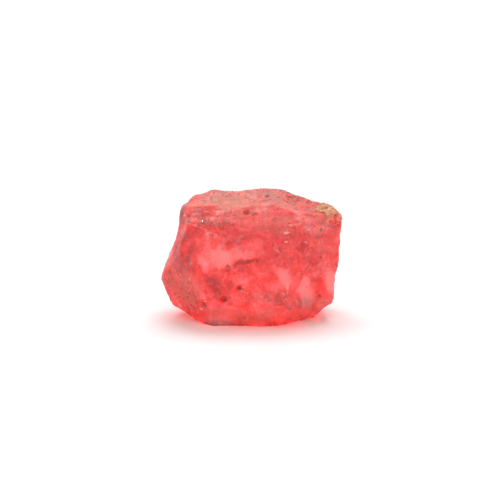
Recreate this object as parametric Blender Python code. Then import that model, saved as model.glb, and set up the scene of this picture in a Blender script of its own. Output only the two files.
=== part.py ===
"""Rough spinel crystal with a remnant of its host rock on one corner.

Frame: metres, +Z up, +X along the longest side, -Y towards the front.
The origin is on the surface the stone rests on, under the middle of its box.
"""

import math

import bmesh
import bpy
from mathutils import Matrix, Vector

MM = 0.001

# Every size and place below is in millimetres.

# Facets of the broken crystal: the compass bearing the facet looks to (0 right, 90 back,
# 180 left, 270 front), its tilt upwards in degrees, and its distance from the middle.
MIDDLE = (0.0, 0.0, 3.55)
FACETS = {
    "top": (256, 86.5, 3.62),
    "top_slope": (344, 77, 3.83),
    "brow": (268, 48, 3.47),
    "brow_right": (308, 42, 4.34),
    "front": (267, 16, 2.91),
    "right_front": (309, 8, 3.85),
    "right": (3, -7, 5.06),
    "right_corner": (20, 22, 5.52),
    "left": (173, 15.5, 4.90),
    "left_front": (200, 19, 5.03),
    "left_top": (168, 50, 5.05),
    "lower_left": (231, -15, 4.45),
    "under_front": (269, -20, 3.94),
    "under_right_front": (311, -40, 4.75),
    "under_left": (177, -24, 5.52),
    "under_left_low": (198, -62, 4.76),
    "under_right": (14, -46, 4.97),
    "back": (91, 8, 3.27),
    "back_left": (127, 7, 3.90),
    "back_right": (52, 5, 3.92),
    "back_top": (94, 32, 3.72),
    "back_top_left": (132, 34, 4.52),
    "back_top_right": (58, 36, 4.28),
    "under_back": (93, -28, 3.80),
    "under_back_left": (140, -30, 4.40),
    "under_back_right": (48, -32, 4.50),
}
BLOCK_SIDE = 20.0
EDGE_WEAR = 0.10

# Shell-shaped breaks: a point on the surface, the way out of it, width and depth.
SHELLS = {
    "front_shell": ((0.70, -3.20, 2.75), (0.10, -0.95, 0.30), 3.4, 0.24),
    "right_front_shell": ((3.55, -2.30, 2.40), (0.62, -0.78, 0.05), 2.2, 0.18),
    "brow_chip": ((-2.60, -1.95, 6.28), (-0.20, -0.75, 0.65), 2.0, 0.12),
    "brow_chip_right": ((0.60, -1.80, 6.55), (0.10, -0.70, 0.70), 1.6, 0.12),
    "top_hollow": ((-1.20, 0.35, 7.12), (0.0, -0.02, 1.0), 3.8, 0.10),
    "slope_shell": ((3.00, -0.05, 6.80), (0.30, -0.05, 0.95), 2.6, 0.14),
    "left_shell": ((-4.75, 0.20, 4.50), (-0.95, 0.0, 0.30), 3.0, 0.24),
    "lower_left_shell": ((-4.30, -2.20, 1.90), (-0.55, -0.70, -0.30), 2.6, 0.26),
    "under_front_shell": ((-1.40, -3.20, 0.90), (-0.10, -0.90, -0.45), 2.0, 0.16),
    "under_right_shell": ((3.60, -2.20, 0.80), (0.45, -0.60, -0.65), 2.0, 0.20),
    "back_shell": ((0.40, 3.35, 3.90), (0.05, 1.0, 0.15), 5.2, 0.55),
    "back_left_shell": ((-3.90, 2.30, 3.90), (-0.70, 0.70, 0.15), 3.0, 0.28),
    "back_right_shell": ((3.90, 2.30, 3.60), (0.75, 0.65, 0.05), 3.0, 0.28),
    "back_top_shell": ((1.80, 2.65, 6.36), (0.15, 0.75, 0.65), 2.4, 0.24),
    "right_shell": ((5.15, 0.40, 3.60), (1.0, 0.05, -0.05), 2.8, 0.18),
}
SHELL_WOBBLE_SIZE = 1.1
SHELL_WOBBLE_HEIGHT = 0.22

# Pits: a point on the surface and the radius of the hole.
PITS = {
    "brow_pit": ((-0.33, -1.62, 6.78), 0.22),
    "top_pit_left": ((0.40, 1.45, 7.24), 0.20),
    "top_pit_right": ((0.95, 1.80, 7.26), 0.19),
    "slope_pit": ((2.30, 1.05, 7.02), 0.20),
    "foot_pit_ring": ((-3.00, -2.95, 1.30), 0.30),
    "foot_pit_mid": ((-0.75, -3.40, 2.50), 0.22),
    "foot_pit_left": ((-1.66, -3.42, 1.85), 0.26),
    "foot_pit_high": ((-2.08, -3.30, 2.30), 0.20),
    "left_pit_low": ((-4.60, -2.10, 2.40), 0.28),
    "left_pit_high": ((-5.00, -0.35, 3.60), 0.26),
    "right_pit": ((5.30, -0.15, 4.60), 0.26),
    "back_pit_low": ((-1.00, 3.50, 2.10), 0.30),
    "back_pit_high": ((-2.30, 2.95, 5.30), 0.28),
}

# Relief of the faces: the size of its forms and how far they stand out.
VOXEL = 0.095
SWELL_SIZE = 2.6
SWELL_HEIGHT = 0.16
LEDGE_SIZE = 1.9
LEDGE_HEIGHT = 0.13
LEDGE_COUNT = 5
LEDGE_RANGE = (0.35, 0.65)
GRAIN_SIZE = 0.45
GRAIN_HEIGHT = 0.07
TRIANGLE_SHARE = 0.095
BASE_SNAP = 0.05

# Host rock on the right-hand corner: the middle and radius of each lump that it grew from.
CRUST_LUMPS = (
    ((4.25, 0.35, 6.28), 0.42),
    ((4.72, 0.15, 6.14), 0.48),
    ((5.03, -0.08, 5.98), 0.40),
    ((4.55, -0.38, 6.12), 0.42),
    ((4.75, 0.70, 6.10), 0.42),
    ((5.10, 0.35, 5.86), 0.38),
)
CRUST_VOXEL = 0.07
CRUST_GRAIN_SIZE = 0.36
CRUST_GRAIN_HEIGHT = 0.20
CRUST_TRIANGLE_SHARE = 0.25
CRUST_GAP = 0.04

SPINEL_COLOUR = (0.72, 0.09, 0.085, 1.0)
SPINEL_IOR = 1.718
MATRIX_COLOUR = (0.62, 0.36, 0.17, 1.0)


def clear_scene():
    for obj in list(bpy.data.objects):
        bpy.data.objects.remove(obj, do_unlink=True)


def add_object(name, bm):
    mesh = bpy.data.meshes.new(name)
    bm.to_mesh(mesh)
    bm.free()
    obj = bpy.data.objects.new(name, mesh)
    bpy.context.scene.collection.objects.link(obj)
    return obj


def mark_as_cutter(obj):
    obj.hide_render = True
    obj.display_type = "WIRE"
    return obj


def apply_modifiers(obj):
    """Turn the object's modifiers into its own mesh."""
    depsgraph = bpy.context.evaluated_depsgraph_get()
    depsgraph.update()
    mesh = bpy.data.meshes.new_from_object(obj.evaluated_get(depsgraph))
    obj.modifiers.clear()
    obj.data = mesh


def direction(bearing, tilt):
    bearing = math.radians(bearing)
    tilt = math.radians(tilt)
    flat = math.cos(tilt)
    return Vector((flat * math.cos(bearing), flat * math.sin(bearing), math.sin(tilt)))


def cut_edges(cut):
    return [part for part in cut["geom_cut"] if isinstance(part, bmesh.types.BMEdge)]


def faceted_block():
    """Block cut to its facets; its foot runs on below the surface it will rest on."""
    middle = Vector(MIDDLE) * MM
    bm = bmesh.new()
    bmesh.ops.create_cube(bm, size=BLOCK_SIDE * MM, matrix=Matrix.Translation(middle))
    for bearing, tilt, distance in FACETS.values():
        outward = direction(bearing, tilt)
        everything = bm.verts[:] + bm.edges[:] + bm.faces[:]
        cut = bmesh.ops.bisect_plane(
            bm, geom=everything, plane_co=middle + outward * distance * MM,
            plane_no=outward, clear_outer=True)
        bmesh.ops.contextual_create(bm, geom=cut_edges(cut))
    bmesh.ops.recalc_face_normals(bm, faces=bm.faces)
    return add_object("spinel_crystal", bm)


def wear_edges(obj):
    bevel = obj.modifiers.new("edge_wear", "BEVEL")
    bevel.width = EDGE_WEAR * MM
    bevel.segments = 2
    bevel.limit_method = "NONE"


def fuse(obj, voxel):
    """Even, fine faces all over, joined into one skin."""
    remesh = obj.modifiers.new("fuse", "REMESH")
    remesh.mode = "VOXEL"
    remesh.voxel_size = voxel * MM


def cloud_texture(name, size, depth):
    texture = bpy.data.textures.new(name, "CLOUDS")
    texture.noise_scale = size * MM
    texture.noise_depth = depth
    return texture


def ledge_texture():
    """Clouds read in level steps, so the face rises in ledges with broken rims."""
    texture = cloud_texture("ledges", LEDGE_SIZE, 2)
    texture.use_color_ramp = True
    ramp = texture.color_ramp
    ramp.interpolation = "CONSTANT"
    lowest, highest = LEDGE_RANGE
    ramp.elements[0].position = 0.0
    ramp.elements[0].color = (0.0, 0.0, 0.0, 1.0)
    ramp.elements[1].position = highest
    ramp.elements[1].color = (1.0, 1.0, 1.0, 1.0)
    for step in range(1, LEDGE_COUNT - 1):
        share = step / (LEDGE_COUNT - 1)
        element = ramp.elements.new(lowest + (highest - lowest) * share)
        element.color = (share, share, share, 1.0)
    return texture


def raise_relief(obj, texture, height):
    relief = obj.modifiers.new(texture.name, "DISPLACE")
    relief.texture = texture
    relief.texture_coords = "LOCAL"
    relief.strength = height * MM
    relief.mid_level = 0.5


def thin_triangles(obj, share):
    """Fewer triangles where the surface is flat."""
    decimate = obj.modifiers.new("thin", "DECIMATE")
    decimate.ratio = share


def cut_away(target, cutter):
    boolean = target.modifiers.new(cutter.name, "BOOLEAN")
    boolean.operation = "DIFFERENCE"
    boolean.solver = "EXACT"
    boolean.object = cutter


def uneven_ball(name, centre, radius, subdivisions, wobble):
    bm = bmesh.new()
    place = Matrix.Translation(Vector(centre) * MM)
    bmesh.ops.create_icosphere(bm, subdivisions=subdivisions, radius=radius * MM, matrix=place)
    ball = mark_as_cutter(add_object(name, bm))
    raise_relief(ball, wobble, SHELL_WOBBLE_HEIGHT)
    return ball


def break_shells(crystal, wobble):
    """Each break is the cap of a large uneven ball, of about its width and depth."""
    for name, (point, outward, width, depth) in SHELLS.items():
        radius = ((width / 2) ** 2 + depth ** 2) / (2 * depth)
        centre = Vector(point) + Vector(outward).normalized() * (radius - depth)
        cut_away(crystal, uneven_ball(name, centre, radius, 6, wobble))


def sink_pits(crystal, wobble):
    for name, (point, radius) in PITS.items():
        cut_away(crystal, uneven_ball(name, point, radius, 3, wobble))


def flatten_base(obj):
    """Cut the foot off level and close it, so the stone stands on one flat face."""
    bm = bmesh.new()
    bm.from_mesh(obj.data)
    everything = bm.verts[:] + bm.edges[:] + bm.faces[:]
    cut = bmesh.ops.bisect_plane(bm, geom=everything, plane_co=(0, 0, 0), plane_no=(0, 0, -1),
                                 clear_outer=True)
    bmesh.ops.holes_fill(bm, edges=cut_edges(cut))
    bm.to_mesh(obj.data)
    bm.free()


def level_base(obj):
    """Put the points of the base back on their level after the thinning."""
    for vert in obj.data.vertices:
        if vert.co.z < BASE_SNAP * MM:
            vert.co.z = 0.0


def spinel_crystal():
    crystal = faceted_block()
    wear_edges(crystal)
    wobble = cloud_texture("shell_wobble", SHELL_WOBBLE_SIZE, 2)
    break_shells(crystal, wobble)
    sink_pits(crystal, wobble)
    fuse(crystal, VOXEL)
    raise_relief(crystal, cloud_texture("swell", SWELL_SIZE, 1), SWELL_HEIGHT)
    raise_relief(crystal, ledge_texture(), LEDGE_HEIGHT)
    raise_relief(crystal, cloud_texture("grain", GRAIN_SIZE, 2), GRAIN_HEIGHT)
    apply_modifiers(crystal)
    flatten_base(crystal)
    thin_triangles(crystal, TRIANGLE_SHARE)
    apply_modifiers(crystal)
    level_base(crystal)
    return crystal


def matrix_crust():
    """Knobbly pad of host rock, its lumps grown into one."""
    bm = bmesh.new()
    for middle, radius in CRUST_LUMPS:
        place = Matrix.Translation(Vector(middle) * MM)
        bmesh.ops.create_icosphere(bm, subdivisions=4, radius=radius * MM, matrix=place)
    crust = add_object("matrix_crust", bm)
    fuse(crust, CRUST_VOXEL)
    raise_relief(crust, cloud_texture("crust_grain", CRUST_GRAIN_SIZE, 2), CRUST_GRAIN_HEIGHT)
    thin_triangles(crust, CRUST_TRIANGLE_SHARE)
    apply_modifiers(crust)
    return crust


def seat_crust(crystal, crust):
    """The crust, grown by the gap, cuts its own seat in the crystal."""
    bm = bmesh.new()
    bm.from_mesh(crust.data)
    bm.normal_update()
    shifts = [vert.normal * CRUST_GAP * MM for vert in bm.verts]
    for vert, shift in zip(bm.verts, shifts):
        vert.co += shift
    cut_away(crystal, mark_as_cutter(add_object("crust_seat", bm)))
    apply_modifiers(crystal)


def centre_over_origin(pieces):
    """Move the pieces together, so that the middle of their common box is over the origin."""
    points = [vert.co for piece in pieces for vert in piece.data.vertices]
    middle_x = (min(point.x for point in points) + max(point.x for point in points)) / 2
    middle_y = (min(point.y for point in points) + max(point.y for point in points)) / 2
    for piece in pieces:
        piece.data.transform(Matrix.Translation((-middle_x, -middle_y, 0.0)))


def finish(obj, name, colour, roughness, transmission, ior):
    material = bpy.data.materials.new(name)
    material.use_nodes = True
    shader = material.node_tree.nodes["Principled BSDF"]
    shader.inputs["Base Color"].default_value = colour
    shader.inputs["Roughness"].default_value = roughness
    shader.inputs["Metallic"].default_value = 0.0
    shader.inputs["Transmission Weight"].default_value = transmission
    shader.inputs["IOR"].default_value = ior
    obj.data.materials.clear()
    obj.data.materials.append(material)


clear_scene()
stone = spinel_crystal()
remnant = matrix_crust()
seat_crust(stone, remnant)
centre_over_origin([stone, remnant])
finish(stone, "spinel", SPINEL_COLOUR, roughness=0.3, transmission=0.8, ior=SPINEL_IOR)
finish(remnant, "matrix", MATRIX_COLOUR, roughness=0.85, transmission=0.0, ior=1.5)
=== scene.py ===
import math
import bpy
from mathutils import Euler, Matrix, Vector
from mathutils.bvhtree import BVHTree


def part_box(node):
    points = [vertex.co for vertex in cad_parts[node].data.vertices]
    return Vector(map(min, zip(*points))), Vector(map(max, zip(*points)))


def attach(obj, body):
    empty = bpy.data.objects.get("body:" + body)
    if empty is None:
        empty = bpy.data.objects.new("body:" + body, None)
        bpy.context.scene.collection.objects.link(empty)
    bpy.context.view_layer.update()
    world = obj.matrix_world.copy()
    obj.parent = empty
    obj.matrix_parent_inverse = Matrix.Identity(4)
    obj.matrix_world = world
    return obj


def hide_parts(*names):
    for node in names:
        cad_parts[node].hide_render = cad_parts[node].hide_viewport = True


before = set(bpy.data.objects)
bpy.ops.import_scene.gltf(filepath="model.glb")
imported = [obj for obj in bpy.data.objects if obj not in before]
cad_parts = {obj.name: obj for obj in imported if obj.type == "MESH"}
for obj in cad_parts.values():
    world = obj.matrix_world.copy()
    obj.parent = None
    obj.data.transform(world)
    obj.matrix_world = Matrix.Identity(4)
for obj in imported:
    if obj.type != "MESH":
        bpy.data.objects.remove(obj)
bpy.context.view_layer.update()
print("frame loaded")

mm = 0.001


# small helpers for working as by hand
def deselectAll():
    if bpy.context.mode != "OBJECT":
        bpy.ops.object.mode_set(mode="OBJECT")
    bpy.ops.object.select_all(action="DESELECT")


def pick(obj):
    deselectAll()
    obj.select_set(True)
    bpy.context.view_layer.objects.active = obj


def inMm(place):
    return Vector(place) * mm


def compass(bearing, tilt):
    # bearing: 0 right, 90 back, 180 left, 270 front; tilt is upwards
    flat = math.cos(math.radians(tilt))
    return Vector((flat * math.cos(math.radians(bearing)), flat * math.sin(math.radians(bearing)),
                   math.sin(math.radians(tilt))))


def addModifier(obj, kind, name, **settings):
    pick(obj)
    bpy.ops.object.modifier_add(type=kind)
    modifier = obj.modifiers[-1]
    modifier.name = name
    for setting, value in settings.items():
        setattr(modifier, setting, value)
    return modifier


def applyModifier(obj, kind, name, **settings):
    modifier = addModifier(obj, kind, name, **settings)
    bpy.ops.object.modifier_apply(modifier=modifier.name)


def addBall(centre, radius, fineness):
    deselectAll()
    bpy.ops.mesh.primitive_ico_sphere_add(subdivisions=fineness, radius=radius * mm)
    ball = bpy.context.active_object
    ball.location = inMm(centre)
    bpy.ops.object.transform_apply(location=True, rotation=True, scale=True)
    return ball


def clouds(name, size, depth=2):
    texture = bpy.data.textures.new(name, "CLOUDS")
    texture.noise_scale = size * mm
    texture.noise_depth = depth
    return texture


def pressRelief(obj, texture, height, group=""):
    applyModifier(obj, "DISPLACE", texture.name, texture=texture, texture_coords="LOCAL",
                  strength=height * mm, vertex_group=group)


# the crystal: lengths in mm, angles in degrees
crystalShape = {
    "middle": (0, 0, 3.55),
    "blockSide": 20,
    # bearing, tilt and distance from the middle
    "facets": {
        "top": (256, 86.5, 3.62),
        "topSlope": (344, 77, 3.83),
        "brow": (268, 48, 3.47),
        "browRight": (308, 42, 4.34),
        "front": (267, 16, 2.91),
        "frontLow": (268, -2, 3.54),
        "rightFront": (309, 8, 3.85),
        "right": (3, -7, 5.06),
        "rightCorner": (20, 22, 5.52),
        "left": (173, 15.5, 4.90),
        "leftFront": (200, 19, 5.03),
        "leftTop": (168, 50, 5.05),
        "lowerLeft": (231, -15, 4.45),
        "underFront": (269, -20, 3.94),
        "underRightFront": (311, -40, 4.75),
        "underLeft": (177, -24, 5.52),
        "underLeftLow": (198, -62, 4.76),
        "underRight": (14, -46, 4.97),
        "back": (91, 8, 3.27),
        "backLeft": (127, 7, 3.90),
        "backRight": (52, 5, 3.92),
        "backTop": (94, 32, 3.72),
        "backTopLeft": (132, 34, 4.52),
        "backTopRight": (58, 36, 4.28),
        "underBack": (93, -28, 3.80),
        "underBackLeft": (140, -30, 4.40),
        "underBackRight": (48, -32, 4.50),
    },
    "edgeWear": 0.07,
    "edgeSteps": 2,
    "cutAccuracy": 0.0001,
    # shell-shaped breaks: a point on the surface, the way out, width and depth
    "shells": {
        "front": ((0.70, -3.20, 2.75), (0.10, -0.95, 0.30), 3.4, 0.14),
        "rightFront": ((3.55, -2.30, 2.40), (0.62, -0.78, 0.05), 2.2, 0.18),
        "top": ((-1.20, 0.35, 7.12), (0.0, -0.02, 1.0), 3.8, 0.10),
        "slope": ((3.00, -0.05, 6.80), (0.30, -0.05, 0.95), 2.6, 0.14),
        "left": ((-4.75, 0.20, 4.50), (-0.95, 0.0, 0.30), 3.0, 0.24),
        "lowerLeft": ((-4.30, -2.20, 1.90), (-0.55, -0.70, -0.30), 2.6, 0.26),
        "underFront": ((-1.40, -3.20, 0.90), (-0.10, -0.90, -0.45), 2.0, 0.16),
        "underRight": ((3.60, -2.20, 0.80), (0.45, -0.60, -0.65), 2.0, 0.20),
        "back": ((0.40, 3.35, 3.90), (0.05, 1.0, 0.15), 5.2, 0.55),
        "backLeft": ((-3.90, 2.30, 3.90), (-0.70, 0.70, 0.15), 3.0, 0.28),
        "backRight": ((3.90, 2.30, 3.60), (0.75, 0.65, 0.05), 3.0, 0.28),
        "backTop": ((1.80, 2.65, 6.36), (0.15, 0.75, 0.65), 2.4, 0.24),
        "right": ((5.15, 0.40, 3.60), (1.0, 0.05, -0.05), 2.8, 0.18),
    },
    # how finely the balls that cut the shells and the pits are divided
    "shellFineness": 6,
    "pitFineness": 4,
    "wobbleSize": 1.1,
    "wobbleHeight": 0.22,
    # pits: a point on the surface and the radius of the hole
    "pits": {
        "brow": ((-0.33, -1.66, 6.78), 0.16),
        "topLeft": ((0.40, 0.45, 7.24), 0.20),
        "topRight": ((0.92, 0.52, 7.26), 0.19),
        "slope": ((2.30, 1.05, 7.02), 0.20),
        "footRing": ((-3.00, -2.95, 1.30), 0.30),
        "footMid": ((-0.75, -3.40, 2.50), 0.22),
        "footLeft": ((-1.66, -3.42, 1.85), 0.26),
        "footHigh": ((-2.08, -3.30, 2.30), 0.20),
        "leftLow": ((-4.60, -2.10, 2.40), 0.28),
        "leftHigh": ((-5.00, -0.35, 3.60), 0.26),
        "right": ((5.30, -0.15, 4.60), 0.26),
        "backLow": ((-1.00, 3.50, 2.10), 0.30),
        "backHigh": ((-2.30, 2.95, 5.30), 0.28),
    },
    "voxel": 0.066,
    "swellSize": 2.6,
    "swellHeight": 0.16,
    "ledgeSize": 1.9,
    "ledgeHeight": 0.13,
    "ledgeCount": 5,
    "ledgeRange": (0.35, 0.65),
    "grainSize": 0.45,
    "grainHeight": 0.07,
    # growth lines along the brow: the facets they lie on, how deep they reach, how soon they are full
    # and their stretch each way
    "lineFacets": ("brow", "browRight"),
    "lineDepth": 0.35,
    "lineOnset": 2,
    "lineSize": 0.16,
    "lineStretch": (7.0, 1.4, 1.0),
    "lineHeight": 0.07,
}


def cutFacets(shape):
    middle = inMm(shape["middle"])
    deselectAll()
    bpy.ops.mesh.primitive_cube_add(size=shape["blockSide"] * mm, location=middle)
    block = bpy.context.active_object
    bpy.ops.object.transform_apply(location=True, rotation=True, scale=True)
    bpy.ops.object.mode_set(mode="EDIT")
    for bearing, tilt, distance in shape["facets"].values():
        outward = compass(bearing, tilt)
        bpy.ops.mesh.select_all(action="SELECT")
        bpy.ops.mesh.bisect(plane_co=middle + outward * distance * mm, plane_no=outward,
                            use_fill=True, clear_outer=True, threshold=shape["cutAccuracy"] * mm)
    bpy.ops.mesh.select_all(action="SELECT")
    bpy.ops.mesh.normals_make_consistent(inside=False)
    bpy.ops.mesh.bevel(offset=shape["edgeWear"] * mm, segments=shape["edgeSteps"])
    bpy.ops.object.mode_set(mode="OBJECT")
    return block


def takeAway(target, centre, radius, fineness, wobble, wobbleHeight):
    ball = addBall(centre, radius, fineness)
    pressRelief(ball, wobble, wobbleHeight)
    applyModifier(target, "BOOLEAN", "takeAway", operation="DIFFERENCE", solver="EXACT", object=ball)
    bpy.data.objects.remove(ball, do_unlink=True)


def ledges(shape):
    # clouds read in level steps, so the face rises in ledges with broken rims
    texture = clouds("ledges", shape["ledgeSize"])
    texture.use_color_ramp = True
    ramp = texture.color_ramp
    ramp.interpolation = "CONSTANT"
    lowest, highest = shape["ledgeRange"]
    ramp.elements[0].color = (0, 0, 0, 1)
    ramp.elements[1].position = highest
    ramp.elements[1].color = (1, 1, 1, 1)
    for step in range(1, shape["ledgeCount"] - 1):
        share = step / (shape["ledgeCount"] - 1)
        element = ramp.elements.new(lowest + (highest - lowest) * share)
        element.color = (share, share, share, 1)
    return texture


def cutGrowthLines(crystal, shape):
    # long narrow ledges that run along the brow
    middle = inMm(shape["middle"])
    planes = []
    for name in shape["lineFacets"]:
        bearing, tilt, distance = shape["facets"][name]
        planes.append((compass(bearing, tilt), distance * mm))
    reach = shape["lineDepth"] * mm
    group = crystal.vertex_groups.new(name="brow")
    for vertex in crystal.data.vertices:
        below = min(distance - (vertex.co - middle).dot(outward) for outward, distance in planes)
        weight = 1 - below / reach
        if weight > 0:
            group.add([vertex.index], min(weight * shape["lineOnset"], 1.0), "REPLACE")
    deselectAll()
    bpy.ops.object.empty_add()
    stretch = bpy.context.active_object
    stretch.scale = shape["lineStretch"]
    bpy.context.view_layer.update()
    texture = clouds("growthLines", shape["lineSize"])
    applyModifier(crystal, "DISPLACE", "growthLines", texture=texture, texture_coords="OBJECT",
                  texture_coords_object=stretch, strength=shape["lineHeight"] * mm,
                  vertex_group="brow")
    bpy.data.objects.remove(stretch, do_unlink=True)
    crystal.vertex_groups.clear()


def makeCrystal(shape):
    crystal = cutFacets(shape)
    crystal.name = "crystal"
    wobble = clouds("wobble", shape["wobbleSize"])
    for point, outward, width, depth in shape["shells"].values():
        radius = ((width / 2) ** 2 + depth ** 2) / (2 * depth)
        centre = Vector(point) + Vector(outward).normalized() * (radius - depth)
        takeAway(crystal, centre, radius, shape["shellFineness"], wobble, shape["wobbleHeight"])
    for point, radius in shape["pits"].values():
        takeAway(crystal, point, radius, shape["pitFineness"], wobble, shape["wobbleHeight"])
    print("crystal cut to shape")
    applyModifier(crystal, "REMESH", "fuse", mode="VOXEL", voxel_size=shape["voxel"] * mm)
    pressRelief(crystal, clouds("swell", shape["swellSize"], depth=1), shape["swellHeight"])
    pressRelief(crystal, ledges(shape), shape["ledgeHeight"])
    pressRelief(crystal, clouds("grain", shape["grainSize"]), shape["grainHeight"])
    cutGrowthLines(crystal, shape)
    bpy.ops.object.mode_set(mode="EDIT")
    bpy.ops.mesh.select_all(action="SELECT")
    bpy.ops.mesh.bisect(plane_co=(0, 0, 0), plane_no=(0, 0, -1), use_fill=True, clear_outer=True,
                        threshold=shape["cutAccuracy"] * mm)
    bpy.ops.object.mode_set(mode="OBJECT")
    bpy.ops.object.shade_smooth()
    return crystal


def setBoxMiddle(piece, nodeName):
    # moves the finished piece sideways until its box has the same middle as the node's
    low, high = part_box(nodeName)
    points = [vertex.co for vertex in piece.data.vertices]
    shift = [0, 0, 0]
    for axis in (0, 1):
        along = [point[axis] for point in points]
        shift[axis] = (low[axis] + high[axis] - min(along) - max(along)) / 2
    pick(piece)
    piece.location = shift
    bpy.ops.object.transform_apply(location=True, rotation=True, scale=True)


crystal = makeCrystal(crystalShape)
print("crystal faces", len(crystal.data.polygons))
setBoxMiddle(crystal, "spinel_crystal")
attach(crystal, "root")
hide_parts("spinel_crystal")

# the crust of host rock on the right-hand top corner
crustShape = {
    # small knobs of rock: centre and radius
    "knobs": [((4.25, 0.35, 6.28), 0.36), ((4.72, 0.15, 6.14), 0.40), ((5.03, -0.08, 5.98), 0.34),
              ((4.55, -0.38, 6.12), 0.34), ((4.75, 0.70, 6.10), 0.34), ((5.10, 0.35, 5.86), 0.32)],
    # the thin skirt that clings to the crystal around them
    "skirtCentre": (4.55, 0.15, 6.40),
    "skirtRadius": 0.80,
    "skirtRise": 0.07,
    "skirtFineness": 5,
    "knobFineness": 4,
    "edgeSize": 0.5,
    "edgeHeight": 0.5,
    "voxel": 0.034,
    "grainSize": 0.20,
    "grainHeight": 0.16,
    "pimpleSize": 0.07,
    "pimpleHeight": 0.05,
}


def growOutward(obj, distance):
    # pushes every point out along its own normal
    pick(obj)
    bpy.ops.object.mode_set(mode="EDIT")
    bpy.ops.mesh.select_all(action="SELECT")
    bpy.ops.transform.shrink_fatten(value=distance * mm)
    bpy.ops.object.mode_set(mode="OBJECT")


def makeCrust(shape, ground):
    pick(ground)
    bpy.ops.object.duplicate()
    skirt = bpy.context.active_object
    growOutward(skirt, shape["skirtRise"])
    patch = addBall(shape["skirtCentre"], shape["skirtRadius"], shape["skirtFineness"])
    pressRelief(patch, clouds("crustEdge", shape["edgeSize"]), shape["edgeHeight"])
    applyModifier(patch, "BOOLEAN", "cling", operation="INTERSECT", solver="EXACT", object=skirt)
    bpy.data.objects.remove(skirt, do_unlink=True)
    pieces = [patch]
    for centre, radius in shape["knobs"]:
        pieces.append(addBall(centre, radius, shape["knobFineness"]))
    deselectAll()
    for piece in pieces:
        piece.select_set(True)
    bpy.context.view_layer.objects.active = patch
    bpy.ops.object.join()
    crust = bpy.context.active_object
    crust.name = "crust"
    applyModifier(crust, "REMESH", "fuseCrust", mode="VOXEL", voxel_size=shape["voxel"] * mm)
    pressRelief(crust, clouds("crustGrain", shape["grainSize"]), shape["grainHeight"])
    pressRelief(crust, clouds("crustPimples", shape["pimpleSize"], depth=1), shape["pimpleHeight"])
    bpy.ops.object.shade_smooth()
    return crust


crust = makeCrust(crustShape, crystal)
print("crust faces", len(crust.data.polygons))
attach(crust, "root")
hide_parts("matrix_crust")


# small helpers for building shaders
def addNode(tree, kind, **settings):
    node = tree.nodes.new(kind)
    for setting, value in settings.items():
        setattr(node, setting, value)
    return node


def feed(tree, socket, source):
    # a socket takes another node's output, or keeps a plain value
    if isinstance(source, bpy.types.NodeSocket):
        tree.links.new(source, socket)
    else:
        socket.default_value = source


def mathNode(tree, operation, first, second=0.0, third=0.0):
    node = addNode(tree, "ShaderNodeMath", operation=operation)
    for socket, source in zip(node.inputs, (first, second, third)):
        feed(tree, socket, source)
    return node.outputs[0]


def vectorNode(tree, operation, first, second=(0, 0, 0)):
    node = addNode(tree, "ShaderNodeVectorMath", operation=operation)
    feed(tree, node.inputs[0], first)
    if operation == "SCALE":
        feed(tree, node.inputs["Scale"], second)
    else:
        feed(tree, node.inputs[1], second)
    return node.outputs["Value"] if operation in ("DOT_PRODUCT", "LENGTH") else node.outputs["Vector"]


def rangeNode(tree, value, fromLow, fromHigh, toLow=0.0, toHigh=1.0, smooth=True):
    node = addNode(tree, "ShaderNodeMapRange", interpolation_type="SMOOTHSTEP" if smooth else "LINEAR")
    for socket, source in zip(node.inputs, (value, fromLow, fromHigh, toLow, toHigh)):
        feed(tree, socket, source)
    return node.outputs["Result"]


def mixValue(tree, factor, first, second, kind="FLOAT"):
    node = addNode(tree, "ShaderNodeMix", data_type=kind)
    for socketName, source in (("Factor", factor), ("A", first), ("B", second)):
        feed(tree, node.inputs[socketName], source)
    return node.outputs["Result"]


def mixColour(tree, factor, first, second):
    return mixValue(tree, factor, first, second, kind="RGBA")


def noiseNode(tree, position, scale, detail, roughness, stretch=None):
    if stretch:
        mapping = addNode(tree, "ShaderNodeMapping", vector_type="POINT")
        feed(tree, mapping.inputs["Vector"], position)
        mapping.inputs["Scale"].default_value = stretch
        position = mapping.outputs["Vector"]
    node = addNode(tree, "ShaderNodeTexNoise")
    feed(tree, node.inputs["Vector"], position)
    node.inputs["Scale"].default_value = scale
    node.inputs["Detail"].default_value = detail
    node.inputs["Roughness"].default_value = roughness
    return node


def centred(tree, noise):
    # noise in each direction, as much one way as the other
    return vectorNode(tree, "SUBTRACT", noise.outputs["Color"], (0.5, 0.5, 0.5))


def moved(tree, position, push, reach):
    return vectorNode(tree, "ADD", position, vectorNode(tree, "SCALE", push, reach))


def rampNode(tree, factor, stops):
    node = addNode(tree, "ShaderNodeValToRGB")
    ramp = node.color_ramp
    while len(ramp.elements) > 1:
        ramp.elements.remove(ramp.elements[-1])
    for index, (place, colour) in enumerate(stops):
        element = ramp.elements[0] if index == 0 else ramp.elements.new(place)
        element.position = place
        element.color = (*colour, 1)
    feed(tree, node.inputs["Fac"], factor)
    return node.outputs["Color"]


def newGroup(name, inputs, outputs):
    group = bpy.data.node_groups.new(name, "ShaderNodeTree")
    for socketName, kind, value in inputs:
        socket = group.interface.new_socket(socketName, in_out="INPUT", socket_type="NodeSocket" + kind)
        socket.default_value = value
    for socketName, kind in outputs:
        group.interface.new_socket(socketName, in_out="OUTPUT", socket_type="NodeSocket" + kind)
    start = group.nodes.new("NodeGroupInput").outputs
    end = group.nodes.new("NodeGroupOutput").inputs
    return group, start, end


def useGroup(tree, group, **values):
    node = addNode(tree, "ShaderNodeGroup", node_tree=group)
    for socketName, value in values.items():
        feed(tree, node.inputs[socketName], value)
    return node.outputs


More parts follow.
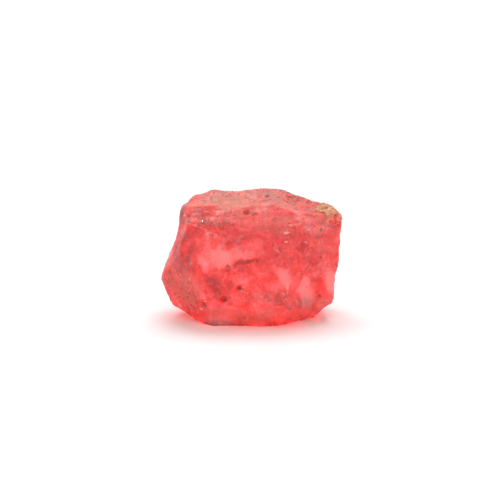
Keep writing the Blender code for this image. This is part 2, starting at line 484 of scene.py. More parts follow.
# how the shared marks are formed; noises are scale, detail and roughness
markShape = {
    "speckRagged": (5.0, 3.0, 0.55),
    "speckReach": 0.45,
    "speckCore": 0.4,
    "lineNoise": (1.0, 4.0, 0.5),
    "lineBreaks": (1.7, 2.0, 0.55),
    "lineKept": (0.48, 0.60),
    "sparkForm": (0.8, 1.0, 1.7),
    "sparkCore": 0.6,
}


def makePatchGroup():
    # a soft-edged egg-shaped region, for clouds, frost and stains at known places
    group, start, end = newGroup(
        "patch",
        [("Position", "Vector", (0, 0, 0)), ("Centre", "Vector", (0, 0, 0)), ("Along", "Vector", (1, 0, 0)),
         ("Across", "Vector", (0, 1, 0)), ("Upward", "Vector", (0, 0, 1)), ("Core", "Float", 0.3)],
        [("Mask", "Float")])
    away = vectorNode(group, "SUBTRACT", start["Position"], start["Centre"])
    squares = 0.0
    for axis in ("Along", "Across", "Upward"):
        share = vectorNode(group, "DOT_PRODUCT", away, start[axis])
        squares = mathNode(group, "MULTIPLY_ADD", share, share, squares)
    mask = rangeNode(group, mathNode(group, "SQRT", squares), start["Core"], 1.0, 1.0, 0.0)
    group.links.new(mask, end["Mask"])
    return group


def makeFacetGroup():
    # small flat chips, each tilted its own way
    group, start, end = newGroup(
        "chippedFacets",
        [("Position", "Vector", (0, 0, 0)), ("Scale", "Float", 3.0)],
        [("Height", "Float"), ("Chance", "Float")])
    cells = addNode(group, "ShaderNodeTexVoronoi", feature="F1")
    group.links.new(start["Position"], cells.inputs["Vector"])
    group.links.new(start["Scale"], cells.inputs["Scale"])
    fromCentre = vectorNode(group, "SUBTRACT", start["Position"], cells.outputs["Position"])
    tilt = vectorNode(group, "SUBTRACT", cells.outputs["Color"], (0.5, 0.5, 0.5))
    group.links.new(vectorNode(group, "DOT_PRODUCT", fromCentre, tilt), end["Height"])
    split = addNode(group, "ShaderNodeSeparateColor")
    group.links.new(cells.outputs["Color"], split.inputs["Color"])
    group.links.new(split.outputs["Green"], end["Chance"])
    return group


def makeSpeckGroup(shape):
    # scattered ragged specks; Share is how many of the cells hold one
    group, start, end = newGroup(
        "specks",
        [("Position", "Vector", (0, 0, 0)), ("Scale", "Float", 3.0), ("Share", "Float", 0.3),
         ("Size", "Float", 0.4)],
        [("Mask", "Float")])
    ragged = noiseNode(group, start["Position"], *shape["speckRagged"])
    pushed = moved(group, start["Position"], centred(group, ragged), shape["speckReach"])
    cells = addNode(group, "ShaderNodeTexVoronoi", feature="F1")
    group.links.new(pushed, cells.inputs["Vector"])
    group.links.new(start["Scale"], cells.inputs["Scale"])
    split = addNode(group, "ShaderNodeSeparateColor")
    group.links.new(cells.outputs["Color"], split.inputs["Color"])
    chosen = mathNode(group, "LESS_THAN", split.outputs["Red"], start["Share"])
    radius = mathNode(group, "MULTIPLY", start["Size"], split.outputs["Blue"])
    core = mathNode(group, "MULTIPLY", radius, shape["speckCore"])
    near = rangeNode(group, cells.outputs["Distance"], core, radius, 1.0, 0.0)
    group.links.new(mathNode(group, "MULTIPLY", chosen, near), end["Mask"])
    return group


def makeCrackGroup(shape):
    # thin wandering lines, where a broad noise passes through its middle
    group, start, end = newGroup(
        "hairlines",
        [("Position", "Vector", (0, 0, 0)), ("Scale", "Float", 1.0), ("Width", "Float", 0.01)],
        [("Mask", "Float")])
    field = noiseNode(group, start["Position"], *shape["lineNoise"])
    group.links.new(start["Scale"], field.inputs["Scale"])
    away = mathNode(group, "ABSOLUTE", mathNode(group, "SUBTRACT", field.outputs["Fac"], 0.5))
    line = rangeNode(group, away, 0.0, start["Width"], 1.0, 0.0)
    breaks = noiseNode(group, start["Position"], *shape["lineBreaks"])
    kept = rangeNode(group, breaks.outputs["Fac"], *shape["lineKept"])
    group.links.new(mathNode(group, "MULTIPLY", line, kept), end["Mask"])
    return group


def makeSparkGroup(shape):
    # a tiny flat chip at a known place, longer than it is high; X is where it is, Y its tilted face
    group, start, end = newGroup(
        "spark",
        [("Position", "Vector", (0, 0, 0)), ("Centre", "Vector", (0, 0, 0)), ("Radius", "Float", 0.1),
         ("Tilt", "Vector", (0, 0, 0))],
        [("Spark", "Vector")])
    away = vectorNode(group, "SUBTRACT", start["Position"], start["Centre"])
    formed = vectorNode(group, "MULTIPLY", away, shape["sparkForm"])
    distance = mathNode(group, "DIVIDE", vectorNode(group, "LENGTH", formed), start["Radius"])
    mask = rangeNode(group, distance, shape["sparkCore"], 1.0, 1.0, 0.0)
    face = mathNode(group, "MULTIPLY", mask, vectorNode(group, "DOT_PRODUCT", away, start["Tilt"]))
    together = addNode(group, "ShaderNodeCombineXYZ")
    feed(group, together.inputs["X"], mask)
    feed(group, together.inputs["Y"], face)
    group.links.new(together.outputs["Vector"], end["Spark"])
    return group


patchGroup = makePatchGroup()
sparkGroup = makeSparkGroup(markShape)
facetGroup = makeFacetGroup()
speckGroup = makeSpeckGroup(markShape)
crackGroup = makeCrackGroup(markShape)


def positionInMm(tree):
    source = addNode(tree, "ShaderNodeTexCoord")
    return vectorNode(tree, "SCALE", source.outputs["Object"], 1 / mm), source.outputs["Normal"]


def patchMask(tree, position, centre, radii, lean=0):
    # the egg's three axes, each divided by its radius
    turned = Euler((0, math.radians(lean), 0)).to_matrix()
    along, across, upward = (tuple(turned.col[axis] / radii[axis]) for axis in range(3))
    return useGroup(tree, patchGroup, Position=position, Centre=centre, Along=along, Across=across,
                    Upward=upward)["Mask"]


def addPatches(tree, position, total, patches):
    # adds each patch's strength to a running sum
    for centre, radii, strength, *lean in patches.values():
        mask = patchMask(tree, position, centre, radii, *lean)
        total = mathNode(tree, "MULTIPLY_ADD", mask, strength, total)
    return total


def patchZone(tree, position, patches):
    # ground that the patches cover, from 0 to 1
    return mathNode(tree, "MINIMUM", addPatches(tree, position, 0.0, patches), 1.0)


# where the stone is looked at and lit from, in mm, degrees and watts
viewpoint = {
    "elevation": 16,
    "distance": 250,
    "frameWidth": 30.2,
    "aim": (-0.15, 0.0, 3.93),
    "sensor": 36,
    "nearest": 10,
    "farthest": 10000,
}

lamps = {
    "glint": {"width": 40, "height": 40, "power": 0.9, "place": (-220, -54, 150), "aim": (0, 0, 3),
              "mirrored": True, "spread": False},
    "behind": {"width": 240, "height": 110, "power": 0.85, "place": (0, 125, 230), "aim": (0, 0, 3),
               "mirrored": False, "spread": True},
}


def viewAxes(view):
    # the camera's upward side and the way back to it; its right is +X
    elevation = math.radians(view["elevation"])
    upward = Vector((0, math.sin(elevation), math.cos(elevation)))
    backward = Vector((0, -math.cos(elevation), math.sin(elevation)))
    return upward, backward


def surfaceOf(piece):
    points = [vertex.co.copy() for vertex in piece.data.vertices]
    return BVHTree.FromPolygons(points, [tuple(face.vertices) for face in piece.data.polygons])


def seenPlace(surface, view, across, above, reach):
    # the point that shows this far right of the aim and this far above it, and the way its ground faces
    upward, backward = viewAxes(view)
    aim = Vector(view["aim"])
    eye = aim + backward * view["distance"]
    towards = aim + Vector((across, 0, 0)) + upward * above - eye
    place = surface.ray_cast(eye * mm, towards.normalized())[0]
    ground = surface.find_nearest_range(place, reach * mm)
    facing = sum((found[1] for found in ground), Vector())
    return place / mm, facing.normalized()


def mirrorTilt(place, facing, view, lamp):
    # how a flat chip leans out of its ground to send the lamp's light to the camera
    toLamp = (Vector(lamp["place"]) - place).normalized()
    halfway = (toLamp + viewAxes(view)[1]).normalized()
    return facing - halfway / halfway.dot(facing)


# the finish of the crystal: places, sizes and relief in mm
spinelLook = {
    "transmission": 0.55,
    "ior": 1.718,
    "shine": 0.30,
    "scatterRadius": (1, 0.2, 0.18),
    "scatterScale": 1.2,
    "absorbColour": (0.985, 0.0, 0.02, 1),
    "absorbDensity": 150.0,
    # from deep red through coral to milky pink
    "bodyStops": [(0.0, (0.34, 0.018, 0.017)), (0.30, (0.68, 0.062, 0.056)), (0.55, (0.88, 0.156, 0.144)),
                  (0.80, (1.0, 0.33, 0.325)), (1.0, (1.0, 0.46, 0.46))],
    "frost": (0.40, 0.170, 0.085, 1),
    "scuff": (0.54, 0.175, 0.085, 1),
    "scuffDeep": (0.28, 0.036, 0.020, 1),
    "dull": (0.44, 0.195, 0.150, 1),
    "stain": (0.11, 0.035, 0.013, 1),
    # the colour of the painted shade along the outline, where the surface turns away from the eye
    "paintedRimShade": (0.05, 0.018, 0.014, 1),
    # pale flecks, and the painted glint on the bright chips
    "flakeAndPaintedGlint": (1.0, 0.62, 0.52, 1),
    # noises: scale, detail and roughness
    "drift": (1.5, 5.0, 0.6),
    "broad": (0.7, 6.0, 0.62),
    "fine": (3.4, 5.0, 0.7),
    "growth": (3.0, 5.0, 0.7),
    "haze": (1.6, 5.0, 0.55),
    "ragged": (9.0, 2.0, 0.55),
    "grain": (10.0, 4.0, 0.65),
    "growthStretch": (0.45, 1.0, 2.2),
    "hazeStretch": (0.6, 1.0, 1.0),
    # how far the drift carries the grain, the patches and the pits, and the ragged noise the chips
    "wanderReach": 1.1,
    "strollReach": 0.66,
    "pitReach": 0.385,
    "flakeReach": 0.30,
    # what makes the body paler or deeper
    "toneStart": -0.33,
    "broadShare": 1.5,
    "fineShare": 1.15,
    "lightLineShare": 0.35,
    "veinShare": -0.28,
    "lightLines": {"Scale": 0.9, "Width": 0.012},
    "veins": {"Scale": 1.7, "Width": 0.030},
    "darkLines": {"Scale": 0.75, "Width": 0.008},
    "manySpecks": {"Scale": 4.6, "Share": 0.55, "Size": 0.50},
    "fewSpecks": {"Scale": 1.3, "Share": 0.22, "Size": 0.22},
    "paleSpecks": {"Scale": 5.2, "Share": 0.35, "Size": 0.42},
    # how much each finish covers what is under it
    "cover": {"scuff": 0.72, "paleSpecks": 0.7, "manySpecks": 0.75, "fewSpecks": 0.8, "darkLines": 0.5,
              "pits": 0.85, "sparks": 0.85, "paintedRimShade": 0.85},
    # where each change over the surface starts and ends; the haze also has what it changes between
    "growthRange": (0.38, 0.60),
    "upRange": (0.66, 0.86),
    "hazeRange": (0.25, 0.7, 0.55, 1.0),
    "paintedRimShadeRange": (0.73, 0.96),
    # relief and the chips that make it
    "chipScale": 1.6,
    "smallChipScale": 6.5,
    "relief": {"chips": 0.22, "smallChips": 0.16, "scuffChips": 0.45, "hacklyChips": 0.70, "grain": 0.016,
               "scuffGrain": 0.05, "scuffGrowth": 0.14, "stain": -0.05},
    # roughness: the plain body, what frost or scuffing and hackly ground add, polished chips and flakes
    "rough": {"body": 0.22, "worn": 0.30, "hackly": 0.25, "polished": 0.07, "flakeAndPaintedGlint": 0.33},
    "polishedShare": 0.2,
    "polishedLost": -0.08,
    # patches here and below: centre, radii, strength and, where it isn't upright, its lean in degrees;
    # a strength above nought is paler, below is deeper
    "clouds": {
        "cloud": ((-1.90, -3.0, 4.35), (1.60, 1.0, 0.90), 0.55),
        "cloudTail": ((-2.99, -3.0, 4.00), (1.00, 1.0, 0.40), 0.48, 52),
        "cloudTip": ((-0.57, -3.0, 4.38), (0.90, 1.0, 0.34), 0.25, 8),
        "underCloud": ((-0.40, -3.1, 4.02), (1.10, 0.8, 0.22), -0.48, -8),
        "underCloudLeft": ((-1.40, -3.1, 3.66), (0.85, 0.8, 0.26), -0.32, -30),
        "deepLeft": ((-2.08, -3.1, 2.65), (1.05, 0.9, 0.85), -0.34, 10),
        "middle": ((-0.57, -3.1, 3.00), (0.80, 0.8, 0.60), 0.36),
        "spot": ((1.78, -3.0, 3.12), (0.90, 0.8, 0.52), 0.64, 50),
        "spotFoot": ((1.32, -3.0, 2.36), (0.36, 0.6, 0.34), 0.20),
        "streak": ((1.42, -2.8, 4.71), (0.34, 0.5, 0.13), 0.50, 55),
        "rightPatch": ((3.11, -2.3, 2.00), (0.80, 0.9, 1.40), 0.72, -10),
        "rightPatchTop": ((3.60, -2.1, 2.95), (0.80, 0.8, 0.34), 0.22, -20),
        "glow": ((4.66, -1.15, 2.20), (0.80, 0.9, 1.10), 0.90),
        "upperLeft": ((-3.70, -2.8, 5.60), (1.00, 0.8, 0.80), -0.42),
        "upperBand": ((-2.40, -2.9, 5.90), (1.10, 0.6, 0.45), 0.14),
        "rightDeep": ((3.10, -2.3, 4.75), (0.80, 0.8, 0.35), -0.32, 15),
        "footBand": ((-1.60, -2.9, 1.00), (1.60, 0.9, 0.75), 0.44),
        "footMiddle": ((0.80, -2.9, 1.10), (1.80, 0.9, 0.80), 0.26),
        "leftBand": ((-4.20, -2.2, 4.30), (1.10, 1.3, 1.80), -0.34, 12),
        "footRight": ((2.20, -2.6, 0.80), (0.90, 0.8, 0.50), -0.05),
        "browRight": ((3.60, -1.50, 5.95), (1.90, 1.20, 0.95), 0.55),
        "shoulderLeft": ((-4.30, -1.20, 6.30), (0.90, 1.20, 0.80), -0.40),
        "footDeepLeft": ((-1.90, -3.10, 1.85), (1.30, 0.80, 0.35), -0.35),
        "upperMiddle": ((-0.20, -3.00, 4.85), (1.70, 0.80, 0.80), 0.28),
        "rightShoulder": ((4.40, -1.20, 5.80), (1.20, 1.00, 0.75), 0.50),
        "rightEdge": ((4.60, -1.40, 3.60), (0.90, 1.00, 1.30), 0.26),
        "footPale": ((-1.50, -3.10, 1.32), (1.50, 0.80, 0.34), 0.26),
        "footEdge": ((-2.00, -2.90, 0.30), (1.50, 0.90, 0.45), 0.45),
        "middleRight": ((0.60, -3.00, 3.40), (0.90, 0.8, 0.60), 0.14),
        "backCloud": ((-1.20, 3.2, 4.60), (1.70, 0.9, 1.00), 0.42, 20),
        "backDeep": ((1.60, 3.2, 3.00), (1.40, 0.9, 1.10), -0.26),
        "backSpot": ((2.90, 2.9, 5.00), (0.80, 0.8, 0.50), 0.36, -35),
        "leftCloud": ((-4.90, 0.9, 3.60), (0.80, 1.10, 0.90), 0.36),
        "rightCloud": ((5.10, 1.10, 3.10), (0.80, 0.90, 1.20), 0.38),
    },
    # small dark pits that show from the front: how far right of the aim and above it, and radius
    "pits": {
        "footMid": (-0.60, -2.30, 0.18),
        "footHigh": (-1.85, -2.60, 0.15),
        "footLeft": (-1.50, -3.05, 0.18),
        "footRight": (1.10, -3.00, 0.13),
        "rightFoot": (4.20, -2.75, 0.13),
        "rightToe": (3.05, -3.95, 0.14),
        "footRing": (-2.75, -3.30, 0.18),
        "footRingLeft": (-3.35, -3.45, 0.14),
        "arcEnd": (0.45, -0.70, 0.11),
        "browMiddle": (-0.20, 2.25, 0.17),
        "browNext": (0.40, 2.15, 0.16),
        "browLeft": (-3.70, 2.10, 0.17),
        "browLow": (-2.85, 1.65, 0.16),
        "browLower": (-2.25, 1.65, 0.14),
        "shoulder": (4.30, 1.25, 0.17),
        "shoulderLeft": (3.85, 1.45, 0.14),
        "rightMiddle": (4.25, -0.45, 0.12),
        "leftPoint": (-4.80, -1.45, 0.17),
        "leftPointIn": (-4.20, -1.45, 0.13),
        "topLeft": (0.55, 3.25, 0.22),
        "topRight": (1.05, 3.30, 0.20),
    },
    # pits behind: centre and radius
    "backPits": {
        "backLow": ((-1.00, 3.45, 2.10), 0.22),
        "backHigh": ((-2.30, 2.90, 5.30), 0.20),
    },
    # duller ground without specks
    "dulled": {
        "foot": ((-0.60, -3.00, 0.75), (4.20, 1.30, 0.90), 0.55),
        "lowerLeft": ((-4.00, -2.30, 1.90), (1.70, 1.60, 1.60), 0.35),
        "top": ((0.00, 0.00, 7.10), (5.00, 3.00, 0.60), 0.70),
        "brow": ((-2.40, -2.10, 6.50), (2.80, 1.00, 0.60), 0.35),
        "browMiddle": ((1.50, -2.10, 6.10), (2.80, 1.30, 1.00), 0.38),
        "rightFoot": ((3.60, -2.00, 0.80), (2.20, 2.00, 1.20), 0.70),
    },
    # hackly ground under the crystal, behind it and at its right foot
    "hackly": {
        "base": ((0.00, 0.40, 0.00), (6.50, 3.40, 0.50), 1.0),
        "back": ((0.00, 3.40, 2.60), (7.00, 2.00, 4.60), 0.9),
        "footRight": ((1.20, -3.20, 1.50), (1.40, 0.90, 0.80), 0.8),
    },
    # tiny bright chips with a painted glint that show from the front: how far right of the aim and above
    # it, and radius
    "sparks": {
        "browLeft": (-3.95, 2.15, 0.13),
        "browLeftIn": (-3.35, 2.15, 0.12),
        "browDash": (-1.95, 2.25, 0.15),
        "browSecond": (-2.30, 1.90, 0.14),
        "browLow": (-3.65, 1.60, 0.12),
        "browLowIn": (-3.30, 1.50, 0.12),
        "browLowRight": (-2.05, 1.50, 0.11),
        "middle": (2.45, 1.50, 0.12),
        "middleLow": (2.20, 1.05, 0.17),
        "middleLower": (2.20, 0.50, 0.12),
        "right": (3.35, 0.50, 0.12),
        "rightLow": (3.65, 0.25, 0.12),
        "rightHigh": (4.40, 0.55, 0.11),
        "glow": (4.85, -2.85, 0.13),
        "lowLeft": (-3.30, -2.45, 0.12),
        "lowLeftFoot": (-4.20, -3.35, 0.12),
        "ring": (-2.95, -3.55, 0.12),
        "ringTop": (-2.70, -3.10, 0.11),
        "leftPoint": (-3.65, -1.75, 0.11),
        "leftPointOut": (-4.20, -1.50, 0.11),
        "top": (-1.05, 2.75, 0.11),
    },
    # how far round a mark its ground is looked at
    "markReach": 0.15,
    # milky ground on the top
    "frosted": {
        "topFront": ((-1.60, -0.90, 7.10), (3.30, 1.90, 0.70), 0.95),
        "topBack": ((-1.20, 1.00, 7.10), (3.20, 1.60, 0.60), 0.50),
        "slope": ((3.00, 0.40, 6.90), (2.20, 1.60, 0.60), 0.12, 12),
        "edge": ((-0.60, -1.15, 6.92), (4.20, 0.60, 0.34), 0.85),
    },
    # scuffed and stained ground: brow, its right end, the lower left and the right
    "scuffs": {
        "brow": ((-2.60, -2.25, 6.35), (2.30, 0.90, 0.42), 0.95),
        "browMiddle": ((-0.30, -2.00, 6.75), (2.20, 0.60, 0.30), 0.75),
        "browRight": ((3.90, -1.30, 6.25), (1.60, 1.50, 0.70), 0.75, 8),
        "upperRight": ((4.00, -1.70, 5.40), (1.20, 1.20, 0.80), 0.40),
        "lowerLeft": ((-4.00, -2.20, 1.70), (1.60, 1.60, 1.30), 0.90),
        "leftPoint": ((-5.00, -1.60, 2.90), (0.80, 1.20, 0.90), 0.85),
        "rightSide": ((4.40, -1.40, 3.60), (0.70, 0.90, 1.00), 0.22),
        "backFoot": ((-2.20, 2.70, 1.50), (1.40, 1.00, 0.90), 0.45),
        "backTop": ((-2.00, 2.60, 6.00), (2.00, 1.00, 0.70), 0.70),
        "rightBack": ((4.80, 1.80, 1.80), (1.00, 1.30, 1.00), 0.70),
        "browEdge": ((-1.60, -1.80, 7.00), (3.20, 0.50, 0.16), 0.40),
        "slopeTop": ((2.70, 0.20, 6.85), (2.60, 2.00, 0.70), 0.75, 12),
        "topRear": ((0.70, 1.60, 7.10), (1.60, 0.90, 0.50), 0.60),
        "slopeRear": ((2.70, 1.70, 6.75), (2.20, 0.50, 0.50), 0.90, 12),
        "crustHalo": ((4.60, 0.00, 6.10), (1.50, 1.60, 0.90), 0.40),
    },
}


def spinelMaterial(look, piece):
    surface = surfaceOf(piece)
    material = bpy.data.materials.new("spinel")
    material.use_nodes = True
    tree = material.node_tree
    shader = tree.nodes["Principled BSDF"]
    position, normal = positionInMm(tree)
    cover = look["cover"]
    relief = look["relief"]

    # clouding of the body
    push = centred(tree, noiseNode(tree, position, *look["drift"]))
    wandering = moved(tree, position, push, look["wanderReach"])
    strolling = moved(tree, position, push, look["strollReach"])
    broad = noiseNode(tree, wandering, *look["broad"])
    fine = noiseNode(tree, wandering, *look["fine"])
    tone = mathNode(tree, "MULTIPLY_ADD", broad.outputs["Fac"], look["broadShare"], look["toneStart"])
    unevenness = mathNode(tree, "SUBTRACT", fine.outputs["Fac"], 0.5)
    tone = mathNode(tree, "MULTIPLY_ADD", unevenness, look["fineShare"], tone)
    tone = addPatches(tree, strolling, tone, look["clouds"])
    lightLines = useGroup(tree, crackGroup, Position=wandering, **look["lightLines"])["Mask"]
    tone = mathNode(tree, "MULTIPLY_ADD", lightLines, look["lightLineShare"], tone)
    veins = useGroup(tree, crackGroup, Position=strolling, **look["veins"])["Mask"]
    tone = mathNode(tree, "MULTIPLY_ADD", veins, look["veinShare"], tone)
    colour = rampNode(tree, tone, look["bodyStops"])

    # scuffed ground, drawn out sideways by the growth lines
    scuffZone = patchZone(tree, wandering, look["scuffs"])
    growth = noiseNode(tree, wandering, *look["growth"], stretch=look["growthStretch"])
    lines = rangeNode(tree, growth.outputs["Fac"], *look["growthRange"])
    scuffColour = mixColour(tree, lines, look["scuffDeep"], look["scuff"])
    colour = mixColour(tree, mathNode(tree, "MULTIPLY", scuffZone, cover["scuff"]), colour, scuffColour)

    dulled = patchZone(tree, strolling, look["dulled"])
    colour = mixColour(tree, dulled, colour, look["dull"])

    # satin frost on what faces up
    up = addNode(tree, "ShaderNodeSeparateXYZ")
    feed(tree, up.inputs["Vector"], normal)
    facingUp = rangeNode(tree, up.outputs["Z"], *look["upRange"])
    haze = noiseNode(tree, wandering, *look["haze"], stretch=look["hazeStretch"])
    milky = mathNode(tree, "MULTIPLY", patchZone(tree, strolling, look["frosted"]),
                     rangeNode(tree, haze.outputs["Fac"], *look["hazeRange"]))
    frost = mathNode(tree, "MULTIPLY", facingUp, milky)
    colour = mixColour(tree, frost, colour, look["frost"])

    # pale and brown specks, thick on the scuffed ground and few elsewhere, and dark hairlines
    manySpecks = useGroup(tree, speckGroup, Position=position, **look["manySpecks"])["Mask"]
    fewSpecks = useGroup(tree, speckGroup, Position=position, **look["fewSpecks"])["Mask"]
    darkLines = useGroup(tree, crackGroup, Position=position, **look["darkLines"])["Mask"]
    paleSpecks = useGroup(tree, speckGroup, Position=wandering, **look["paleSpecks"])["Mask"]
    paleCover = mathNode(tree, "MULTIPLY", scuffZone, cover["paleSpecks"])
    colour = mixColour(tree, mathNode(tree, "MULTIPLY", paleSpecks, paleCover), colour, look["flakeAndPaintedGlint"])
    manyCover = mathNode(tree, "MULTIPLY", scuffZone, cover["manySpecks"])
    stain = mathNode(tree, "MULTIPLY", manySpecks, manyCover)
    stain = mathNode(tree, "MAXIMUM", stain, mathNode(tree, "MULTIPLY", fewSpecks, cover["fewSpecks"]))
    stain = mathNode(tree, "MAXIMUM", stain, mathNode(tree, "MULTIPLY", darkLines, cover["darkLines"]))

    # small dark pits
    nearPits = moved(tree, position, push, look["pitReach"])
    places = list(look["backPits"].values())
    for across, above, radius in look["pits"].values():
        places.append((seenPlace(surface, viewpoint, across, above, look["markReach"])[0], radius))
    pits = 0.0
    for centre, radius in places:
        spot = patchMask(tree, nearPits, centre, (radius,) * 3)
        pits = mathNode(tree, "MAXIMUM", spot, pits)
    stain = mathNode(tree, "MAXIMUM", stain, mathNode(tree, "MULTIPLY", pits, cover["pits"]))
    colour = mixColour(tree, stain, colour, look["stain"])

    # pale ragged chips, each tilted to catch the lamp; their pale colour is a painted glint
    ragged = centred(tree, noiseNode(tree, position, *look["ragged"]))
    nearSparks = moved(tree, position, ragged, look["flakeReach"])
    sparks = (0, 0, 0)
    for across, above, radius in look["sparks"].values():
        centre, facing = seenPlace(surface, viewpoint, across, above, look["markReach"])
        tilt = mirrorTilt(centre, facing, viewpoint, lamps["glint"])
        spark = useGroup(tree, sparkGroup, Position=nearSparks, Centre=centre, Radius=radius, Tilt=tilt)
        sparks = vectorNode(tree, "ADD", spark["Spark"], sparks)
    split = addNode(tree, "ShaderNodeSeparateXYZ")
    feed(tree, split.inputs["Vector"], sparks)
    sparkMask, sparkHeight = split.outputs["X"], split.outputs["Y"]
    # painted glint: the spark chips are paled towards white
    colour = mixColour(tree, mathNode(tree, "MULTIPLY", sparkMask, cover["sparks"]), colour, look["flakeAndPaintedGlint"])

    # painted shade: a thin dark line where the surface turns away from the eye
    edge = addNode(tree, "ShaderNodeLayerWeight")
    turned = rangeNode(tree, edge.outputs["Facing"], *look["paintedRimShadeRange"], 0.0, cover["paintedRimShade"])
    colour = mixColour(tree, turned, colour, look["paintedRimShade"])
    feed(tree, shader.inputs["Base Color"], colour)

    # broken surface: broad chips, small chips, grain, and the growth lines
    chips = useGroup(tree, facetGroup, Position=wandering, Scale=look["chipScale"])
    smallChips = useGroup(tree, facetGroup, Position=wandering, Scale=look["smallChipScale"])
    grain = noiseNode(tree, position, *look["grain"])
    hackly = patchZone(tree, position, look["hackly"])
    height = mathNode(tree, "MULTIPLY", chips["Height"], relief["chips"])
    chipDepth = mathNode(tree, "MULTIPLY_ADD", scuffZone, relief["scuffChips"], relief["smallChips"])
    chipDepth = mathNode(tree, "MULTIPLY_ADD", hackly, relief["hacklyChips"], chipDepth)
    height = mathNode(tree, "MULTIPLY_ADD", smallChips["Height"], chipDepth, height)
    grainDepth = mathNode(tree, "MULTIPLY_ADD", scuffZone, relief["scuffGrain"], relief["grain"])
    height = mathNode(tree, "MULTIPLY_ADD", grain.outputs["Fac"], grainDepth, height)
    lineDepth = mathNode(tree, "MULTIPLY", scuffZone, relief["scuffGrowth"])
    height = mathNode(tree, "MULTIPLY_ADD", growth.outputs["Fac"], lineDepth, height)
    height = mathNode(tree, "MULTIPLY_ADD", stain, relief["stain"], height)
    plainGround = mathNode(tree, "SUBTRACT", 1.0, sparkMask)
    height = mathNode(tree, "MULTIPLY_ADD", height, plainGround, sparkHeight)
    bump = addNode(tree, "ShaderNodeBump")
    bump.inputs["Distance"].default_value = mm
    feed(tree, bump.inputs["Height"], height)
    feed(tree, shader.inputs["Normal"], bump.outputs["Normal"])

    # some of the small chips are polished, fewer where the ground is scuffed and none under frost
    worn = mathNode(tree, "MAXIMUM", frost, scuffZone)
    rough = mathNode(tree, "MULTIPLY_ADD", worn, look["rough"]["worn"], look["rough"]["body"])
    rough = mathNode(tree, "MULTIPLY_ADD", hackly, look["rough"]["hackly"], rough)
    share = mathNode(tree, "MULTIPLY_ADD", scuffZone, look["polishedLost"], look["polishedShare"])
    polished = mathNode(tree, "LESS_THAN", smallChips["Chance"], share)
    polished = mathNode(tree, "MULTIPLY", polished, mathNode(tree, "SUBTRACT", 1.0, frost))
    rough = mixValue(tree, polished, rough, look["rough"]["polished"])
    rough = mixValue(tree, sparkMask, rough, look["rough"]["flakeAndPaintedGlint"])
    feed(tree, shader.inputs["Roughness"], rough)

    shader.inputs["Metallic"].default_value = 0.0
    shader.inputs["Subsurface Weight"].default_value = 1.0
    shader.inputs["Subsurface Radius"].default_value = look["scatterRadius"]
    shader.inputs["Subsurface Scale"].default_value = look["scatterScale"] * mm
    shader.inputs["Transmission Weight"].default_value = look["transmission"]
    shader.inputs["IOR"].default_value = look["ior"]
    shader.inputs["Specular IOR Level"].default_value = look["shine"]
    absorb = addNode(tree, "ShaderNodeVolumeAbsorption")
    absorb.inputs["Color"].default_value = look["absorbColour"]
    absorb.inputs["Density"].default_value = look["absorbDensity"]
    feed(tree, tree.nodes["Material Output"].inputs["Volume"], absorb.outputs["Volume"])
    return material


crystal.data.materials.clear()
crystal.data.materials.append(spinelMaterial(spinelLook, crystal))
print("spinel finished")

# the finish of the crust
crustLook = {
    "stops": [(0.0, (0.30, 0.12, 0.06)), (0.35, (0.44, 0.175, 0.090)), (0.55, (0.54, 0.245, 0.130)),
              (0.8, (0.74, 0.42, 0.265))],
    "blush": (0.68, 0.19, 0.13, 1),
    # pink crystal skin that creeps over the foot of the crust, made bright as painted light against the
    # shade that falls there
    "skin": (1.0, 0.27, 0.19, 1),
    "stain": spinelLook["stain"],
    # noises: scale, detail and roughness
    "grains": (4.5, 5.0, 0.7),
    "blotches": (2.2, 3.0, 0.55),
    "crumbScale": 7.0,
    "specks": {"Scale": 4.5, "Share": 0.35, "Size": 0.5},
    # what makes the rock paler or darker
    "toneStart": -0.30,
    "grainShare": 1.5,
    "crumbShare": 0.35,
    # where a change starts and ends, and what it changes between; the skin's are heights in mm
    "blushRange": (0.48, 0.68, 0.0, 0.6),
    "speckCover": 0.7,
    "skinRange": (6.45, 6.85, 0.9, 0.0),
    "skinDrift": 0.8,
    "rough": 0.78,
    "crumbPolish": -0.3,
    "crumbRelief": 0.5,
    "grainRelief": 0.08,
}


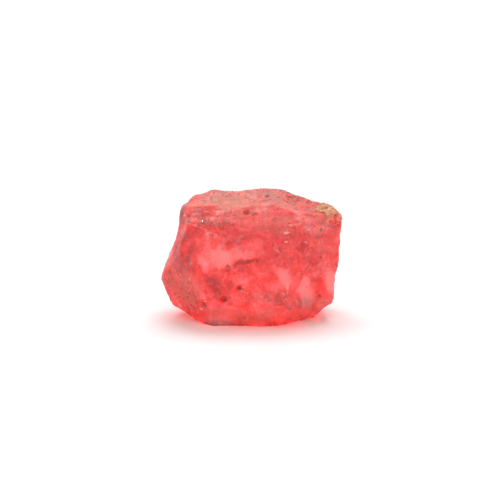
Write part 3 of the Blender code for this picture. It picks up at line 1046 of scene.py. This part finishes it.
def crustMaterial(look):
    material = bpy.data.materials.new("matrixRock")
    material.use_nodes = True
    tree = material.node_tree
    shader = tree.nodes["Principled BSDF"]
    position = positionInMm(tree)[0]
    grains = noiseNode(tree, position, *look["grains"])
    crumbs = useGroup(tree, facetGroup, Position=position, Scale=look["crumbScale"])
    tone = mathNode(tree, "MULTIPLY_ADD", grains.outputs["Fac"], look["grainShare"], look["toneStart"])
    chance = mathNode(tree, "SUBTRACT", crumbs["Chance"], 0.5)
    tone = mathNode(tree, "MULTIPLY_ADD", chance, look["crumbShare"], tone)
    colour = rampNode(tree, tone, look["stops"])
    blotches = noiseNode(tree, position, *look["blotches"])
    blush = rangeNode(tree, blotches.outputs["Fac"], *look["blushRange"])
    colour = mixColour(tree, blush, colour, look["blush"])
    specks = useGroup(tree, speckGroup, Position=position, **look["specks"])["Mask"]
    colour = mixColour(tree, mathNode(tree, "MULTIPLY", specks, look["speckCover"]), colour, look["stain"])
    heights = addNode(tree, "ShaderNodeSeparateXYZ")
    feed(tree, heights.inputs["Vector"], position)
    level = mathNode(tree, "MULTIPLY_ADD", grains.outputs["Fac"], look["skinDrift"], heights.outputs["Z"])
    # the foot of the crust goes bright pink, partly crystal skin and partly painted light against its shade
    colour = mixColour(tree, rangeNode(tree, level, *look["skinRange"]), colour, look["skin"])
    feed(tree, shader.inputs["Base Color"], colour)
    rough = mathNode(tree, "MULTIPLY_ADD", crumbs["Chance"], look["crumbPolish"], look["rough"])
    feed(tree, shader.inputs["Roughness"], rough)
    height = mathNode(tree, "MULTIPLY", crumbs["Height"], look["crumbRelief"])
    height = mathNode(tree, "MULTIPLY_ADD", grains.outputs["Fac"], look["grainRelief"], height)
    bump = addNode(tree, "ShaderNodeBump")
    bump.inputs["Distance"].default_value = mm
    feed(tree, bump.inputs["Height"], height)
    feed(tree, shader.inputs["Normal"], bump.outputs["Normal"])
    return material


crust.data.materials.clear()
crust.data.materials.append(crustMaterial(crustLook))
print("crust finished")

# the room: a pale floor and a sky that is brighter overhead
studio = {
    "floorSide": 260,
    "paper": (0.56, 0.56, 0.56, 1),
    "paperRough": 0.9,
    "horizonGlow": 0.47,
    "overheadGlow": 1.35,
    # light that comes through the stone, to the eye and to the floor
    "throughGain": 3.6,
    "floorGain": 36.0,
}


def makeFloor(setup):
    deselectAll()
    bpy.ops.mesh.primitive_plane_add(size=setup["floorSide"] * mm)
    floor = bpy.context.active_object
    floor.name = "floor"
    paper = bpy.data.materials.new("paper")
    paper.use_nodes = True
    shader = paper.node_tree.nodes["Principled BSDF"]
    shader.inputs["Base Color"].default_value = setup["paper"]
    shader.inputs["Roughness"].default_value = setup["paperRough"]
    floor.data.materials.append(paper)


def makeSky(setup):
    # seen plain white, while what falls through the stone is made stronger
    world = bpy.data.worlds.new("room")
    bpy.context.scene.world = world
    world.use_nodes = True
    tree = world.node_tree
    direction = addNode(tree, "ShaderNodeTexCoord")
    upward = addNode(tree, "ShaderNodeSeparateXYZ")
    feed(tree, upward.inputs["Vector"], direction.outputs["Generated"])
    glow = rangeNode(tree, upward.outputs["Z"], 0.0, 1.0, setup["horizonGlow"], setup["overheadGlow"],
                     smooth=False)
    seen = addNode(tree, "ShaderNodeLightPath")
    fromFloor = mathNode(tree, "GREATER_THAN", seen.outputs["Diffuse Depth"], 0.5)
    gain = mixValue(tree, fromFloor, setup["throughGain"], setup["floorGain"])
    through = mathNode(tree, "MULTIPLY", glow, gain)
    glow = mixValue(tree, seen.outputs["Is Transmission Ray"], glow, through)
    glow = mixValue(tree, seen.outputs["Is Camera Ray"], glow, 1.0)
    tree.nodes["Background"].inputs["Color"].default_value = (1, 1, 1, 1)
    feed(tree, tree.nodes["Background"].inputs["Strength"], glow)


def makeCamera(view):
    camera = bpy.data.cameras.new("camera")
    cameraObject = bpy.data.objects.new("camera", camera)
    bpy.context.scene.collection.objects.link(cameraObject)
    cameraObject.location = inMm(view["aim"]) + viewAxes(view)[1] * view["distance"] * mm
    cameraObject.rotation_euler = (math.radians(90 - view["elevation"]), 0, 0)
    camera.sensor_width = view["sensor"]
    camera.lens = view["sensor"] * view["distance"] / view["frameWidth"]
    camera.clip_start = view["nearest"] * mm
    camera.clip_end = view["farthest"] * mm
    bpy.context.scene.camera = cameraObject


def softLight(name, setup):
    light = bpy.data.lights.new(name, "AREA")
    light.shape = "RECTANGLE"
    light.size = setup["width"] * mm
    light.size_y = setup["height"] * mm
    light.energy = setup["power"]
    lamp = bpy.data.objects.new(name, light)
    bpy.context.scene.collection.objects.link(lamp)
    lamp.location = inMm(setup["place"])
    lamp.visible_glossy = setup["mirrored"]
    lamp.visible_diffuse = setup["spread"]
    lamp.visible_transmission = setup["spread"]
    lamp.rotation_euler = (inMm(setup["aim"]) - lamp.location).to_track_quat("-Z", "Y").to_euler()


makeFloor(studio)
makeSky(studio)
makeCamera(viewpoint)
bpy.context.scene.view_settings.view_transform = "Standard"
for name, setup in lamps.items():
    softLight(name, setup)
print("studio set")
